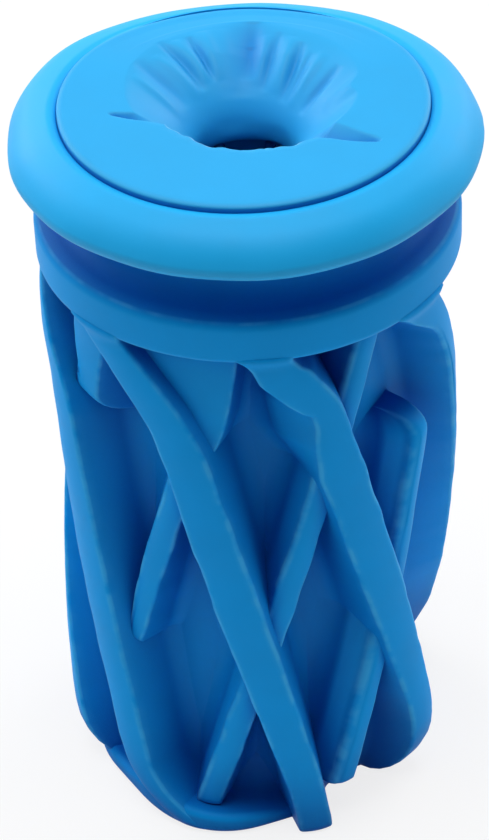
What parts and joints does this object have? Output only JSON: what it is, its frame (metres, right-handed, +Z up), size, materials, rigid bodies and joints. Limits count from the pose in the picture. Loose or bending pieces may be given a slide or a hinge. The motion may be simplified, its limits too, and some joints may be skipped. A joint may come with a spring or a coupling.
{
  "type": "paw washer cup",
  "caption": "Soft tall round cup for washing a dog's paw: puckered soft mouth in a rolled rim, a neck groove, helical ribs outside and a lift-out insert lined with bristles.",
  "frame": {"origin": "centre of the cup's base, on the surface that it stands on", "axes": "+Z up the cup's axis to the mouth; -Y is the front, where the long ribs run down to the right; +X is to the right"},
  "size_m": [0.09, 0.09, 0.1536],
  "materials": {
    "cup_silicone": "soft satin silicone, sky blue",
    "mouth_silicone": "soft satin silicone, sky blue",
    "liner_silicone": "smooth soft silicone, sky blue",
    "bristle_silicone": "soft silicone bristles, sky blue"
  },
  "bodies": {
    "cup": {"cup_shell": "cup_silicone", "collar": "cup_silicone", "rim_flange": "cup_silicone", "long_rib_1": "cup_silicone", "long_rib_2": "cup_silicone", "long_rib_3": "cup_silicone", "long_rib_4": "cup_silicone", "long_rib_5": "cup_silicone", "long_rib_6": "cup_silicone", "long_rib_7": "cup_silicone", "cross_rib_1": "cup_silicone", "cross_rib_2": "cup_silicone", "cross_rib_3": "cup_silicone", "cross_rib_4": "cup_silicone", "cross_rib_5": "cup_silicone", "cross_rib_6": "cup_silicone", "cross_rib_7": "cup_silicone", "cross_rib_8": "cup_silicone", "base_curb_1": "cup_silicone", "base_curb_2": "cup_silicone"},
    "insert": {"mouth_disc": "mouth_silicone", "liner": "liner_silicone", "bristle_band_1": "bristle_silicone", "bristle_band_2": "bristle_silicone", "bristle_band_3": "bristle_silicone", "bristle_band_4": "bristle_silicone", "bristle_band_5": "bristle_silicone", "bristle_band_6": "bristle_silicone", "bristle_band_7": "bristle_silicone", "bristle_band_8": "bristle_silicone"}
  },
  "joints": [
    {"name": "insert_lift", "type": "slide", "parent": "cup", "child": "insert", "axis": [0, 0, 1], "range_m": [0, 0.16]}
  ]
}
